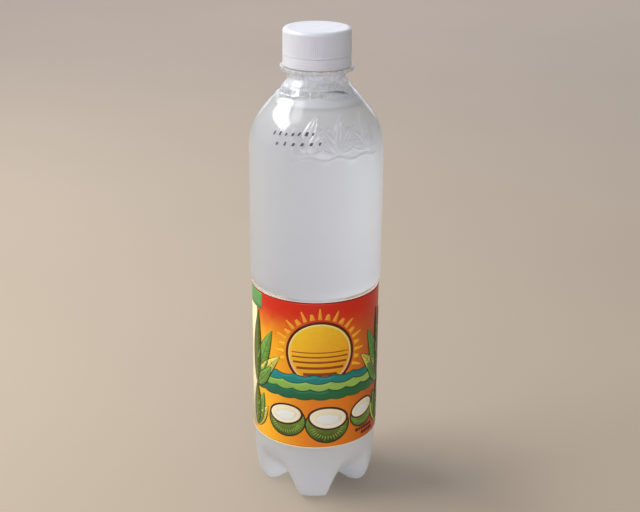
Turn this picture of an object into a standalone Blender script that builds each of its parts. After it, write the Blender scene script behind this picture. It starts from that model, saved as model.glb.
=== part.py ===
"""Bottle of coconut water: a clear bottle on four feet, its drink, screw cap and label.

Units are metres, +Z is up, the origin is under the middle of the base, on the surface that
the feet stand on, and the front of the label faces -Y.
"""
import math

import bmesh
import bpy
import numpy as np

MM = 0.001
SEGMENTS = 48                     # steps round every turned piece, a multiple of twice the feet
FEET = 4
FRONT = math.radians(-91.4)       # a foot lies at the front, a little off -Y
MERGE = 0.00005

# Bottle, outside
BODY_R = 30.58 * MM               # upper body
PANEL_R = 29.16 * MM              # recessed label panel and the body below it
GROOVE_R = 28.85 * MM             # narrowest place, just above the label
NECK_R = 12.8 * MM                # under the support ring
RING_R = 16.5 * MM                # support ring of a 28 mm neck finish
FINISH_R = 12.45 * MM             # neck wall under the cap
BEAD_R = 13.9 * MM                # bead that holds the tamper band
MOUTH_R = 10.87 * MM              # bore of the mouth
RIM_CHAMFER = 0.35 * MM

BASE_TOP_Z = 27.84 * MM           # where the feet begin
GROOVE_Z = 105.3 * MM
BULGE_R = 4.4 * MM                # round from the body into the groove
SHOULDER_Z = 169.3 * MM           # top of the straight body
RING_Z = 205.5 * MM
RING_H = 1.6 * MM
BEAD_Z = 210.35 * MM
BEAD_H = 1.2 * MM
MOUTH_Z = 221.35 * MM

SHOULDER_ARC = 28.0 * MM          # convex round of the shoulder
NECK_FILLET = 8.0 * MM            # hollow round from the shoulder into the neck
SHOULDER_TURN = math.radians(40)  # both rounds turn by this, so a cone of 50 degrees joins them

WALL = 0.5 * MM                   # blown wall
GAP = 0.3 * MM                    # between neighbouring pieces

# Feet: a dome with four feet blown out of it
DOME_H = 22.3 * MM                # height of the dome from BASE_TOP_Z to its middle
PAD_OUT = 21.35 * MM              # flat pad, from here
PAD_IN = 18.2 * MM                # to here
PAD_U = (0.56, 0.68)              # where the pad lies on the way from the wall to the middle
FOOT_FLAT = 0.35                  # share of half a foot's angle that is at full depth
FLANK = (1.2, 3.3)                # exponents of the flank's fall into the valley
HEEL = 0.715                      # exponent of the foot's outer wall, below 1 for a square heel
FOOT_RINGS = (0.0, 0.04, 0.1, 0.17, 0.25, 0.34, 0.44, 0.56, 0.68, 0.79, 0.9, 1.0)

# Cap and tamper band
CAP_R = 15.25 * MM
CAP_TOP_Z = 223.15 * MM
CAP_ROUND = 1.7 * MM
CAP_WALL = 1.2 * MM
SEAM_Z = 211.2 * MM               # between cap and tamper band
SEAM = 0.35 * MM
BAND_Z = 207.3 * MM               # lower edge of the tamper band
BAND_WALL = 0.95 * MM
EDGE = 0.3 * MM

# Label and drink
LABEL_Z = (30.4 * MM, 104.4 * MM)
LABEL_WALL = 0.3 * MM
LEVEL_Z = 191.0 * MM


def arc(centre, radius, start, end, steps):
    """Points on an arc in the (r, z) plane, from angle start to angle end."""
    angles = np.linspace(start, end, steps + 1)
    return [(centre[0] + radius * math.cos(a), centre[1] + radius * math.sin(a)) for a in angles]


def shoulder(inset=0.0, neck_inset=0.0, steps=(4, 6)):
    """Shoulder from the neck down to the straight body, moved inwards by an inset that
    grows towards the neck: a hollow fillet, a cone and a convex arc."""
    turn = SHOULDER_TURN
    arc_r = BODY_R - SHOULDER_ARC
    cone_top_r = NECK_R + NECK_FILLET * (1 - math.cos(turn))
    arc_top = (arc_r + SHOULDER_ARC * math.cos(turn), SHOULDER_Z + SHOULDER_ARC * math.sin(turn))
    cone_rise = (arc_top[0] - cone_top_r) / math.tan(turn)
    cone_top_z = arc_top[1] + cone_rise
    fillet_z = cone_top_z + NECK_FILLET * math.sin(turn)
    fillet = arc((NECK_R + NECK_FILLET, fillet_z), NECK_FILLET, math.pi, math.pi + turn, steps[0])
    round_ = arc((arc_r, SHOULDER_Z), SHOULDER_ARC, turn, 0.0, steps[1])
    facing = list(np.linspace(0.0, turn, steps[0] + 1)) + list(np.linspace(turn, 0.0, steps[1] + 1))
    points = []
    for (r, z), a in zip(fillet + round_, facing):
        share = min(max((r - NECK_R) / (arc_top[0] - NECK_R), 0.0), 1.0)
        move = neck_inset + (inset - neck_inset) * share
        points.append((r - move * math.cos(a), z - move * math.sin(a)))
    return points


def bulge(inset=0.0, steps=4):
    """Round from the straight body into the groove above the label, then out to the panel."""
    depth = BODY_R - GROOVE_R
    turn = math.acos(1 - depth / BULGE_R)
    start_z = GROOVE_Z + BULGE_R * math.sin(turn)
    points = arc((BODY_R - BULGE_R, start_z), BULGE_R - inset, 0.0, -turn, steps)
    return points + [(PANEL_R - inset, LABEL_Z[1])]


def foot_weight(angle, narrow):
    """How far a point at this angle from a foot lies from the dome (0) to the foot (1): flat
    over the pad, then a steep flank that levels out in the valley between two feet."""
    turns = angle * FEET / (2 * math.pi)
    off = abs(turns - round(turns)) * 2 + narrow
    t = min(max((off - FOOT_FLAT) / (1 - FOOT_FLAT), 0.0), 1.0)
    return (1 - t ** FLANK[0]) ** FLANK[1]


def dome_point(u, inset):
    """Dome from the wall (u = 0) to the middle (u = 1), an ellipse in the (r, z) plane."""
    a = u * math.pi / 2
    return (PANEL_R - inset) * math.cos(a), BASE_TOP_Z - (DOME_H - inset) * math.sin(a)


def foot_point(u, inset):
    """Middle line of a foot: outer wall, flat pad, then the slope up to the middle."""
    wall_r = PANEL_R - inset
    out_r, in_r = PAD_OUT - inset * 0.4, PAD_IN + inset * 0.4
    if u <= PAD_U[0]:
        a = u / PAD_U[0] * math.pi / 2
        return (out_r + (wall_r - out_r) * math.cos(a),
                inset + (BASE_TOP_Z - inset) * (1 - math.sin(a) ** HEEL))
    if u <= PAD_U[1]:
        return out_r + (in_r - out_r) * (u - PAD_U[0]) / (PAD_U[1] - PAD_U[0]), inset
    a = (u - PAD_U[1]) / (1 - PAD_U[1]) * math.pi / 2
    middle_z = BASE_TOP_Z - DOME_H + inset
    return in_r * math.cos(a), inset + (middle_z - inset) * math.sin(a) ** 2


def dome(inset=0.0):
    """Profile of the dome down to the middle of the base."""
    return [dome_point(u, inset) for u in FOOT_RINGS]


def blow_feet(mesh, inset, tolerance=0.02 * MM):
    """Move each point of the turned dome towards the foot that it belongs to."""
    rings = [(u, dome_point(u, inset)) for u in FOOT_RINGS]
    narrow = inset / (PANEL_R * math.pi / FEET)
    for vertex in mesh.vertices:
        x, y, z = vertex.co
        r = math.hypot(x, y)
        for u, (ring_r, ring_z) in rings:
            if abs(r - ring_r) < tolerance and abs(z - ring_z) < tolerance:
                angle = math.atan2(y, x)
                weight = foot_weight(angle, narrow)
                foot_r, foot_z = foot_point(u, inset)
                new_r = ring_r + (foot_r - ring_r) * weight
                vertex.co = (new_r * math.cos(angle), new_r * math.sin(angle),
                             ring_z + (foot_z - ring_z) * weight)
                break


def turned(name, profile, collection, closed=False):
    """Turn a profile, listed down its outer side, about the Z axis into a solid whose first
    step, and so the middle of a foot, faces the front. No edge runs along the axis."""
    mesh = bpy.data.meshes.new(name + "_profile")
    count = len(profile)
    edges = [(i, (i + 1) % count) for i in range(count if closed else count - 1)]
    edges = [e for e in edges if max(profile[e[0]][0], profile[e[1]][0]) > MERGE]
    mesh.from_pydata([(r, 0.0, z) for r, z in profile], edges, [])
    source = bpy.data.objects.new(name + "_profile", mesh)
    collection.objects.link(source)
    screw = source.modifiers.new("Turn", "SCREW")
    screw.axis = "Z"
    screw.steps = screw.render_steps = SEGMENTS
    screw.use_merge_vertices = True
    screw.merge_threshold = MERGE
    depsgraph = bpy.context.evaluated_depsgraph_get()
    solid = bpy.data.meshes.new_from_object(source.evaluated_get(depsgraph))
    bpy.data.objects.remove(source)
    solid.name = name
    obj = bpy.data.objects.new(name, solid)
    obj.rotation_euler.z = FRONT
    collection.objects.link(obj)
    return obj


def finish(obj, material, sharp=35):
    """Triangulate and shade a piece, and give it its material."""
    mesh = obj.data
    work = bmesh.new()
    work.from_mesh(mesh)
    bmesh.ops.triangulate(work, faces=work.faces)
    work.to_mesh(mesh)
    work.free()
    mesh.shade_smooth()
    mesh.set_sharp_from_angle(angle=math.radians(sharp))
    mesh.materials.append(material)


def material(name, colour, roughness, alpha=1.0, transmission=0.0, ior=1.45):
    """Principled material of one plain colour."""
    mat = bpy.data.materials.new(name)
    mat.use_nodes = True
    shader = mat.node_tree.nodes["Principled BSDF"]
    shader.inputs["Base Color"].default_value = (*colour, 1.0)
    shader.inputs["Roughness"].default_value = roughness
    shader.inputs["Metallic"].default_value = 0.0
    shader.inputs["Alpha"].default_value = alpha
    shader.inputs["Transmission Weight"].default_value = transmission
    shader.inputs["IOR"].default_value = ior
    return mat


def make_bottle(collection):
    """Clear blown bottle, open at the mouth: outer side down, inner side back up."""
    ring_top, ring_low = RING_Z + RING_H / 2, RING_Z - RING_H / 2
    bead_top, bead_low = BEAD_Z + BEAD_H / 2, BEAD_Z - BEAD_H / 2
    outer = [(FINISH_R - RIM_CHAMFER, MOUTH_Z), (FINISH_R, MOUTH_Z - RIM_CHAMFER),
             (FINISH_R, bead_top + RIM_CHAMFER * 2), (BEAD_R, bead_top), (BEAD_R, bead_low),
             (NECK_R, bead_low - RIM_CHAMFER * 2), (NECK_R, ring_top + RIM_CHAMFER),
             (RING_R - RIM_CHAMFER, ring_top), (RING_R, ring_top - RIM_CHAMFER),
             (RING_R, ring_low + RIM_CHAMFER), (RING_R - RIM_CHAMFER, ring_low),
             (NECK_R, ring_low - RIM_CHAMFER)]
    outer += shoulder() + bulge() + dome()
    inner = [(MOUTH_R, MOUTH_Z)] + shoulder(WALL, NECK_R - MOUTH_R) + bulge(WALL) + dome(WALL)
    obj = turned("bottle", outer + inner[::-1], collection, closed=True)
    blow_feet(obj.data, 0.0)
    blow_feet(obj.data, WALL)
    finish(obj, material("clear_pet", (0.93, 0.95, 0.96), 0.05, 0.3, 0.9, 1.57))


def make_drink(collection):
    """Drink up to its level, clear of the inner wall by the gap."""
    inset = WALL + GAP
    wall = [p for p in shoulder(inset, NECK_R - MOUTH_R + GAP) if p[1] < LEVEL_Z]
    above = [p for p in shoulder(inset, NECK_R - MOUTH_R + GAP) if p[1] >= LEVEL_Z][-1]
    share = (LEVEL_Z - wall[0][1]) / (above[1] - wall[0][1])
    edge = (wall[0][0] + (above[0] - wall[0][0]) * share, LEVEL_Z)
    profile = [(0.0, LEVEL_Z), edge] + wall + bulge(inset) + dome(inset)
    obj = turned("coconut_water", profile, collection)
    blow_feet(obj.data, inset)
    finish(obj, material("coconut_water", (0.58, 0.59, 0.62), 0.35))


def make_cap(collection):
    """Screw cap: a rounded top and a skirt, hollow from below."""
    inner_r = CAP_R - CAP_WALL
    inner_top = MOUTH_Z + GAP
    profile = [(0.0, CAP_TOP_Z)]
    profile += arc((CAP_R - CAP_ROUND, CAP_TOP_Z - CAP_ROUND), CAP_ROUND, math.pi / 2, 0.0, 4)
    profile += [(CAP_R, SEAM_Z + SEAM / 2 + EDGE), (CAP_R - EDGE, SEAM_Z + SEAM / 2),
                (inner_r, SEAM_Z + SEAM / 2), (inner_r, inner_top), (0.0, inner_top)]
    obj = turned("cap", profile, collection)
    finish(obj, material("white_hdpe", (0.82, 0.83, 0.85), 0.4))


def make_tamper_band(collection):
    """Tamper band: the ring that stays on the neck when the cap is opened."""
    top = SEAM_Z - SEAM / 2
    inner_r = CAP_R - BAND_WALL
    profile = [(inner_r, top), (CAP_R - EDGE, top), (CAP_R, top - EDGE), (CAP_R, BAND_Z + EDGE),
               (CAP_R - EDGE, BAND_Z), (inner_r, BAND_Z)]
    obj = turned("tamper_band", profile, collection, closed=True)
    finish(obj, material("white_hdpe_band", (0.8, 0.81, 0.83), 0.42))


def make_label(collection):
    """Wrap-round film label on the recessed panel."""
    inner_r = PANEL_R + GAP
    outer_r = inner_r + LABEL_WALL
    low, high = LABEL_Z
    profile = [(inner_r, high), (outer_r, high), (outer_r, low), (inner_r, low)]
    obj = turned("label", profile, collection, closed=True)
    finish(obj, material("printed_film", (0.82, 0.3, 0.05), 0.35))


def main():
    for obj in list(bpy.data.objects):
        bpy.data.objects.remove(obj)
    collection = bpy.data.collections.new("bottle_of_coconut_water")
    bpy.context.scene.collection.children.link(collection)
    make_bottle(collection)
    make_drink(collection)
    make_cap(collection)
    make_tamper_band(collection)
    make_label(collection)


main()
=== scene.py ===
"""Looks of a bottle of coconut water: clear blown bottle, cloudy drink, white cap, printed label.

Every new piece is a surface worked out on a grid: rows along a profile, columns round the
bottle's axis or across the label. Lengths are metres, and a value in millimetres carries MM.
Angles run anticlockwise seen from above, from +X, and the front of the label faces -Y.
"""
import math

import bpy
import numpy as np
from mathutils import Matrix, Vector


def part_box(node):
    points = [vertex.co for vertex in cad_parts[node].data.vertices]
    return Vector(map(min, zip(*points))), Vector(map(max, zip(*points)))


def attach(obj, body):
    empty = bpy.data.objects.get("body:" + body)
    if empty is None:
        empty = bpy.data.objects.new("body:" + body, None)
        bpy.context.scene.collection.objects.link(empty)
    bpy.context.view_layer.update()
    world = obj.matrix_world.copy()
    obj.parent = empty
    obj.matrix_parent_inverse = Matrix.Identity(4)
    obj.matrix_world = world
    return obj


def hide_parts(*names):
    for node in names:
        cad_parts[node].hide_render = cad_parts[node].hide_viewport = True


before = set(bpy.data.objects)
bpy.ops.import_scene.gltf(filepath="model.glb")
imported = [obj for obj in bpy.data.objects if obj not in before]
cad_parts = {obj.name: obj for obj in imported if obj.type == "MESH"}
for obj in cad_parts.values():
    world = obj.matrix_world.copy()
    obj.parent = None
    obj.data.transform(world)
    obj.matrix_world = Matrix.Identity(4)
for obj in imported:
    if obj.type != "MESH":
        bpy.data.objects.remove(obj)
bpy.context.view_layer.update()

MM = 0.001
TURN = 2 * math.pi

# Heights that the solids give
DRINK_TOP_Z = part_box("coconut_water")[1].z
LABEL_LOW_Z, LABEL_HIGH_Z = (corner.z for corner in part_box("label"))
CAP_LOW_Z, CAP_HIGH_Z = (corner.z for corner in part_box("cap"))
BAND_LOW_Z, BAND_HIGH_Z = (corner.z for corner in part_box("tamper_band"))
MOUTH_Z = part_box("bottle")[1].z

# Bottle
BODY_R = 30.58 * MM
PANEL_R = 29.16 * MM              # recess that carries the label
GROOVE_R = 28.85 * MM
GROOVE_Z = 105.3 * MM
GROOVE_TOP_Z = 109 * MM           # just above the round into the groove
BULGE_R = 4.4 * MM
SHOULDER_Z = 169.3 * MM
SHOULDER_ARC = 28.0 * MM
SHOULDER_TURN = math.radians(40)
NECK_FILLET = 8.0 * MM
NECK_R = 12.8 * MM
MOUTH_R = 10.87 * MM
FINISH_R = 12.45 * MM             # neck wall under the cap
BEAD_R = 13.9 * MM
BEAD_Z = (209.75 * MM, 210.95 * MM)
BEAD_SLOPE = 0.6 * MM
RING_R = 16.5 * MM
RING_Z = (204.7 * MM, 206.3 * MM)
SIDE_TOP_Z = RING_Z[0] - 0.3 * MM
WALL = 0.5 * MM                   # over the body and the cone
SINK = 0.15 * MM                  # how far the drink reaches into the wall
RELIEF = 0.64 * MM                # height of the moulded relief on the shoulder
RELIEF_MIDDLE = math.radians(-71)  # it lies round here, and once more half a turn on
RELIEF_HALF = math.radians(42)
RELIEF_FOOT_Z = 173.0 * MM
SPRAYS = np.radians((-27, 0, 27))
SPRAY = ((90, 17.0, 2.2), (66, 14.5, 1.9), (114, 14.5, 1.9), (40, 11.0, 1.6), (140, 11.0, 1.6))
BEND = 11.0                       # how the leaves of a spray bend, per metre
PARTING = 0.06 * MM               # height of the mould's parting lines
PARTING_AT = math.radians(24)
WAVE = 0.035 * MM                 # unevenness of the blown wall
# Height and depth, in millimetres, of the ledge round the cone and of the waist above it
LEDGE = ((194.2, 0.0), (195.4, 1.0), (198.9, 0.0))
WAIST = ((199.6, 0.04), (200.4, 0.2), (201.2, 0.46), (201.8, 0.7), (204.2, 0.0))

# Feet: a dome with four feet blown out of it
FEET = 4
FRONT_FOOT = math.radians(-91.4)
BASE_TOP_Z = 27.84 * MM
DOME_H = 22.3 * MM
PAD_OUT = 21.35 * MM
PAD_IN = 18.2 * MM
PAD_U = (0.56, 0.68)
FOOT_FLAT = 0.33
FLANK = (1.3, 3.4)
HEEL = 0.715
GATE = (1.6 * MM, 0.5 * MM)       # radius and height of the moulding stub under the middle

# Cap and tamper band
CAP_R = 15.25 * MM
CAP_ROUND = 1.7 * MM
CAP_WALL = 1.2 * MM
CAP_ROOF_Z = MOUTH_Z + 0.3 * MM   # the roof's underside
CAP_DISH = 0.18 * MM
CAP_GATE = 0.35 * MM              # depth of the gate mark in the middle of the top
CAP_RIBS = 120
RIB_DEPTH = 0.1 * MM
BRIDGES = 14
BAND_WALL = 0.95 * MM
BAND_FLARE = 0.1 * MM
BAND_DROP = 0.65 * MM             # how far it reaches below its solid
BAND_REACH = 0.97                 # share of the solids' gap under the cap that it fills

# Drink on the wall: its edge, and above its level a film, a painted shade line at its upper edge,
# and drops
CLIMB = (0.45 * MM, 0.6 * MM)     # height that the edge climbs, and the distance it does so in
FILM_MIDDLES = np.radians((-66, 100))
FILM_HALF = math.radians(68)
FILM_FALL = math.radians(18)      # its upper edge falls almost to the level over this much
FILM_FOOT = 0.6 * MM              # how far it reaches below the level
# Painted shade line: a dark strip on the wall's inner side that stands for the dark line at the
# drink's edge
SHADE_LINE_Z = 197.75 * MM
SHADE_LINE_FALL = 2.0 * MM
SHADE_LINE_HALF = 0.4 * MM
SHADE_LINE_ENDS = np.radians((-84, -30))
DROPS = 160

# Ink dots: for each row its first and last block, in degrees from the front's middle and in
# millimetres up, and the number of blocks
CODE = ((-41, -3.5, 180.5, 181.6, 7), (-36, 2.5, 176.6, 177.8, 6))
CODE_R = 28.3 * MM
DOT_PITCH = 0.4 * MM
DOT_LEAN = 0.4
DOT_R = 0.27 * MM
DOT_RISE = 0.09 * MM

# Label, laid out in millimetres: across from the front's middle, and up from its lower edge
LABEL_R = 29.72 * MM
LABEL_H = (LABEL_HIGH_Z - LABEL_LOW_Z) / MM
LABEL_HALF = math.pi * LABEL_R / MM
LAP = 5.0                         # the film's end laps over its start at the back
FILM = 0.5 * MM
INK_STEP = 0.02 * MM              # height of one layer of print over the one below it
INK_ROOT = 0.06 * MM              # how far a print reaches into the film


def linear(code):
    """Linear colour of an sRGB hex code."""
    parts = np.array([int(code[i:i + 2], 16) / 255 for i in (1, 3, 5)])
    parts = np.where(parts <= 0.04045, parts / 12.92, ((parts + 0.055) / 1.055) ** 2.4)
    return (*parts.tolist(), 1.0)


def per(size):
    """Scale of a pattern on Object coordinates whose features are this many millimetres."""
    return 1 / (size * MM)


def add(tree, kind, inputs=None, **settings):
    """Add a node of a kind with its settings. An input takes a value, or a link given as
    (node, output)."""
    made = tree.nodes.new(kind)
    for name, value in settings.items():
        setattr(made, name, value)
    for socket, value in (inputs or {}).items():
        if isinstance(value, tuple) and isinstance(value[0], bpy.types.Node):
            tree.links.new(value[0].outputs[value[1]], made.inputs[socket])
        else:
            made.inputs[socket].default_value = value
    return made


def new_material(name):
    """A material with an empty tree, and its Object coordinates."""
    material = bpy.data.materials.new(name)
    material.use_nodes = True
    material.node_tree.nodes.clear()
    coords = add(material.node_tree, "ShaderNodeTexCoord")
    return material, material.node_tree, coords


def grid_faces(rows, columns, around, loop):
    """Quads between neighbouring rows and columns, which may close on themselves."""
    number = np.arange(rows * columns).reshape(rows, columns)
    if around:
        number = np.hstack([number, number[:, :1]])
    if loop:
        number = np.vstack([number, number[:1]])
    corners = [number[:-1, :-1], number[:-1, 1:], number[1:, 1:], number[1:, :-1]]
    return np.stack(corners, -1).reshape(-1, 4)


def piece(name, grids, material, poles=None, loop=False, flats=None, sharp=40):
    """Mesh object of one or more grids (rows, columns, 3). A grid whose last column repeats its
    first is closed round. poles gives each grid the two points that its first and last rows
    close on. flats gives each grid's label millimetres, kept as a UV map in decimetres."""
    points, quads, fans, marks, start = [], [], [], [], 0
    for i, grid in enumerate(grids):
        around = np.allclose(grid[:, 0], grid[:, -1], rtol=0, atol=1e-9)
        keep = grid[:, :-1] if around else grid
        rows, columns = keep.shape[:2]
        count = rows * columns
        points.append(keep.reshape(-1, 3))
        quads.append(start + grid_faces(rows, columns, around, loop))
        if flats is not None:
            marks.append((flats[i][:, :-1] if around else flats[i]).reshape(-1, 2))
        if poles is not None:
            ring = np.arange(columns)
            first = [np.full(columns, count), np.roll(ring, -1), ring]
            last = [np.full(columns, count + 1), ring + count - columns,
                    np.roll(ring, -1) + count - columns]
            fans += [start + np.stack(first, -1), start + np.stack(last, -1)]
            points.append(np.array(poles[i]))
            count += 2
        start += count
    faces = np.vstack(quads).tolist() + (np.vstack(fans).tolist() if fans else [])
    mesh = bpy.data.meshes.new(name)
    mesh.from_pydata(np.vstack(points).tolist(), [], faces)
    mesh.update()
    if flats is not None:
        corner = np.empty(len(mesh.loops), dtype=np.int32)
        mesh.loops.foreach_get("vertex_index", corner)
        layer = mesh.uv_layers.new(name="label_plane")
        layer.data.foreach_set("uv", (np.vstack(marks)[corner] / 100).ravel())
    mesh.shade_smooth()
    mesh.set_sharp_from_angle(angle=math.radians(sharp))
    mesh.materials.append(material)
    obj = bpy.data.objects.new(name, mesh)
    bpy.context.scene.collection.objects.link(obj)
    return obj


def dress(obj, slot, *nodes):
    """The piece rides on the bottle's one body and may stand for CAD nodes, which it hides; its
    slot is not used.
    """
    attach(obj, "root")
    if nodes:
        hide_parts(*nodes)


def thicken(obj, depth, edge=None):
    """Give an open sheet its thickness, inwards from the face that shows."""
    if edge is not None:
        obj.data.materials.append(edge)
    solid = obj.modifiers.new("Thickness", "SOLIDIFY")
    solid.thickness = depth
    solid.offset = -1
    solid.material_offset_rim = 0 if edge is None else 1
    return obj


def angles(columns):
    """Even steps once round the axis, the last one on the first."""
    return np.linspace(0, TURN, columns + 1)


def turned(r, z, angle):
    """Points of profiles turned about Z: (r cos a, r sin a, z)."""
    r, z, angle = np.broadcast_arrays(r, z, angle)
    return np.stack([r * np.cos(angle), r * np.sin(angle), z], -1)


def closed(grid):
    """The grid with its last column made the same as its first."""
    grid[:, -1] = grid[:, 0]
    return grid


def arc(centre, radius, start, end, count):
    """Points in the (r, z) plane at even angles round a centre."""
    a = np.linspace(start, end, count)
    return np.stack([centre[0] + radius * np.cos(a), centre[1] + radius * np.sin(a)], -1)


def stretches(start, *legs):
    """Values from a start on, through legs of (end, steps): each has even steps to its end."""
    parts = [[start]]
    for end, steps in legs:
        parts.append(np.linspace(parts[-1][-1], end, steps + 1)[1:])
    return np.concatenate(parts)


def rounded(corners, cut, steps=5):
    """Outline through corners, each inner one replaced by a quadratic curve that leaves and
    joins its two sides a cut's length away."""
    corners = np.asarray(corners, float)
    here = corners[1:-1]
    back, ahead = corners[:-2] - here, corners[2:] - here
    back *= cut / np.linalg.norm(back, axis=1, keepdims=True)
    ahead *= cut / np.linalg.norm(ahead, axis=1, keepdims=True)
    t = np.linspace(0, 1, steps)[None, :, None]
    curve = here[:, None] + (1 - t) ** 2 * back[:, None] + t ** 2 * ahead[:, None]
    return np.vstack([corners[:1], curve.reshape(-1, 2), corners[-1:]])


def smooth(low, high, x):
    """0 below low, 1 above high, and a smooth step between."""
    t = np.clip((x - low) / (high - low), 0, 1)
    return t * t * (3 - 2 * t)


def shoulder_sizes():
    """Radius where the cone meets the shoulder's arc, and the height where the neck's fillet
    starts, for a cone that leans by the same turn as both rounds."""
    turn = SHOULDER_TURN
    arc_top_r = BODY_R - SHOULDER_ARC * (1 - math.cos(turn))
    arc_top_z = SHOULDER_Z + SHOULDER_ARC * math.sin(turn)
    cone_top_r = NECK_R + NECK_FILLET * (1 - math.cos(turn))
    cone_top_z = arc_top_z + (arc_top_r - cone_top_r) / math.tan(turn)
    return arc_top_r, cone_top_z + NECK_FILLET * math.sin(turn)


ARC_TOP_R, FILLET_Z = shoulder_sizes()


def side_outline():
    """Outer side from the neck down: hollow fillet, cone, convex arc, straight body, round into
    the groove, then the label's panel."""
    turn = SHOULDER_TURN
    fillet = arc((NECK_R + NECK_FILLET, FILLET_Z), NECK_FILLET, math.pi, math.pi + turn, 24)
    crown = arc((BODY_R - SHOULDER_ARC, SHOULDER_Z), SHOULDER_ARC, turn, 0, 60)
    dip = math.acos(1 - (BODY_R - GROOVE_R) / BULGE_R)
    bulge = arc((BODY_R - BULGE_R, GROOVE_Z + BULGE_R * math.sin(dip)), BULGE_R, 0, -dip, 24)
    panel = [(PANEL_R, LABEL_HIGH_Z), (PANEL_R, BASE_TOP_Z)]
    return np.vstack([[(NECK_R, SIDE_TOP_Z)], fillet, crown, bulge, panel])


def side_rows(heights):
    """Radius, height and outward normal (r, z) of the outer side at given heights, which are
    listed downwards."""
    outline = side_outline()
    fine = np.linspace(outline[0, 1], outline[-1, 1], 6000)
    r = np.interp(-fine, -outline[:, 1], outline[:, 0])
    slope = np.gradient(r, fine)
    length = np.hypot(1, slope)
    r, normal_r, normal_z = (np.interp(-heights, -fine, values)
                             for values in (r, 1 / length, -slope / length))
    return np.array([r, heights, normal_r, normal_z])


def wall_depth(r):
    """Wall thickness: thin over the body and the cone, then growing evenly along the neck's
    fillet to the neck's own, by the angle from the fillet's top."""
    down = np.arccos(np.clip(1 - (r - NECK_R) / NECK_FILLET, math.cos(SHOULDER_TURN), 1))
    return (NECK_R - MOUTH_R) + (WALL - (NECK_R - MOUTH_R)) * down / SHOULDER_TURN


def foot_line(u, inset):
    """Middle line of a foot from the wall (u = 0) to the bottle's middle (u = 1): a quarter
    round down the heel, a flat pad, then a slope up that levels out in the middle."""
    out_r, in_r = PAD_OUT - inset * 0.4, PAD_IN + inset * 0.4
    heel = np.clip(u / PAD_U[0], 0, 1) * math.pi / 2
    pad = np.clip((u - PAD_U[0]) / (PAD_U[1] - PAD_U[0]), 0, 1)
    rise = np.clip((u - PAD_U[1]) / (1 - PAD_U[1]), 0, 1) * math.pi / 2
    middle_z = BASE_TOP_Z - DOME_H + inset
    r = out_r + (PANEL_R - inset - out_r) * np.cos(heel)
    r = np.where(u > PAD_U[0], out_r + (in_r - out_r) * pad, r)
    r = np.where(u > PAD_U[1], in_r * np.cos(rise), r)
    z = inset + (BASE_TOP_Z - inset) * (1 - np.sin(heel) ** HEEL)
    return r, np.where(u > PAD_U[1], inset + (middle_z - inset) * np.sin(rise) ** 2, z)


def base_rows(u, angle, inset):
    """Dome with feet blown out of it: an ellipse from the wall to the middle, moved towards the
    foot's middle line by a weight of 1 over the foot that falls to 0 in the valley."""
    u = u[:, None]
    dome_r = (PANEL_R - inset) * np.cos(u * math.pi / 2)
    dome_z = BASE_TOP_Z - (DOME_H - inset) * np.sin(u * math.pi / 2)
    foot_r, foot_z = foot_line(u, inset)
    feet = (angle - FRONT_FOOT) * FEET / TURN
    off = np.abs(feet - np.round(feet)) * 2 + inset * FEET / (PANEL_R * math.pi)
    flank = np.clip((off - FOOT_FLAT) / (1 - FOOT_FLAT), 0, 1)
    weight = (1 - flank ** FLANK[0]) ** FLANK[1]
    return turned(dome_r + (foot_r - dome_r) * weight, dome_z + (foot_z - dome_z) * weight, angle)


def ridge(distance, width):
    """Rounded ridge of height 1 along a line, from the distance to it."""
    return np.exp(-(distance / width) ** 2)


def leaf_ridges(x, y, length, half, width):
    """Raised outline and midrib of a pointed leaf that lies along x from 0 to its length. The
    outline is the parabola |y| = half (1 - (2x/length - 1)^2)."""
    t = 2 * x / length - 1
    slope = 4 * half / length * t
    edge = np.abs(np.abs(y) - half * (1 - t * t)) / np.sqrt(1 + slope * slope)
    outline = ridge(edge, width) * smooth(-0.02, 0.02, 1 - np.abs(t))
    midrib = ridge(y, width * 0.8) * smooth(0.05, 0.2, 1 - np.abs(t))
    return np.maximum(outline, midrib)


def off_middle(angle):
    """Angle from the nearer middle of the relief, which lies there at the front and back."""
    half_turns = (angle - RELIEF_MIDDLE) / math.pi
    return (half_turns - np.round(half_turns)) * math.pi


def shoulder_relief(angle, r, z):
    """Height of the moulded relief: sprays of five leaves over one line that waves up and
    down. Each leaf leans by its own angle from the spray's foot."""
    off, rise = off_middle(angle), z - RELIEF_FOOT_Z
    up = rise / 0.86
    height = np.zeros(np.broadcast(off, up).shape)
    for place in SPRAYS:
        for lean, length, half in SPRAY:
            across = (off - place) * r
            c, s = math.cos(math.radians(lean)), math.sin(math.radians(lean))
            along, side = across * c + up * s, -across * s + up * c
            side = side - BEND * along ** 2 * math.copysign(1, lean - 90.5)
            leaf = leaf_ridges(along - 1.2 * MM, side, length * MM, half * MM, 0.5 * MM)
            height = np.maximum(height, leaf)
    line = rise + 1.7 * MM - 0.7 * MM * np.cos(off * 15)
    held = smooth(RELIEF_HALF, RELIEF_HALF * 0.9, np.abs(off))
    return RELIEF * np.maximum(height, ridge(line, 0.5 * MM) * 0.8) * held


def blown(angle, z):
    """Unevenness of the blown wall, and the mould's two parting lines."""
    wave = np.sin(5 * angle + 1.1 + z / (31 * MM)) * np.sin(z / (17 * MM) + 0.6)
    wave = wave + 0.6 * np.sin(9 * angle + 0.4 - z / (23 * MM)) * np.sin(z / (9 * MM) + 2)
    parting = ridge(np.sin(angle - PARTING_AT), 0.014)
    return WAVE * wave * smooth(0, 8 * MM, z - GROOVE_Z) + PARTING * parting


def ledge(angle, z):
    """Depth of the shallow ledge round the cone, a quick step in and a slow way out, and of the
    waist above it. Its foot wanders up and down a little, and both are fainter at the sides."""
    heights, depths = np.array(LEDGE + WAIST).T * MM
    held = 1 - 0.75 * smooth(0.86, 0.99, np.abs(np.cos(angle)))
    return np.interp(z - 0.3 * MM * np.sin(angle * 3 + 1), heights, depths) * held


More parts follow.
